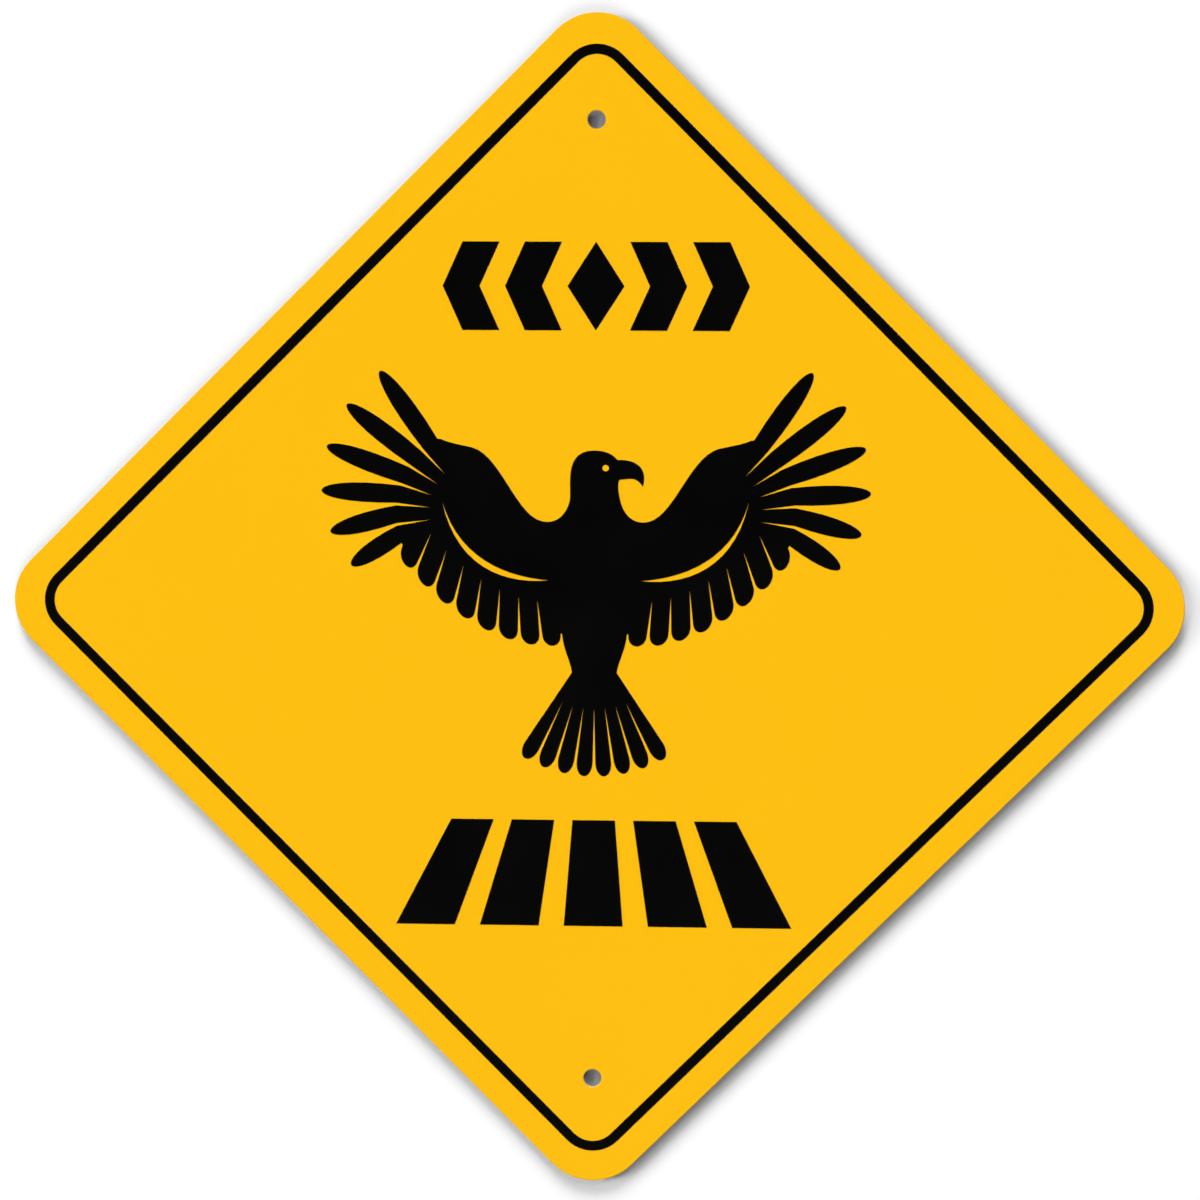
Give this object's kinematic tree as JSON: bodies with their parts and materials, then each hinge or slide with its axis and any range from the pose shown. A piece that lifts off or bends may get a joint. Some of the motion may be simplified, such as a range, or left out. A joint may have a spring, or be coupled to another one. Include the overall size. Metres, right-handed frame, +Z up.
{
  "type": "eagle crossing sign",
  "caption": "Diamond-shaped flat metal warning sign with a yellow face, a black border line and a black bird of prey, punched at top and bottom for bolting to a post.",
  "frame": {"origin": "on the sheet's back face, midway between the two mounting holes, which is the centre of the diamond", "axes": "+Z up through the upper hole, +X across to the reader's right, +Y out of the back of the sheet toward the post, so the printed face looks along -Y"},
  "size_m": [0.4144, 0.0012, 0.4144],
  "materials": {
    "bare_aluminium": "bare rolled sheet, fine grain, cut edges",
    "yellow_coat": "smooth satin sign yellow",
    "black_ink": "screen-printed black, satin"
  },
  "bodies": {
    "root": {"aluminium_blank": "bare_aluminium", "yellow_face": "yellow_coat", "border_line": "black_ink", "bird_figure": "black_ink", "upper_marks": "black_ink", "lower_bars": "black_ink"}
  },
  "joints": []
}
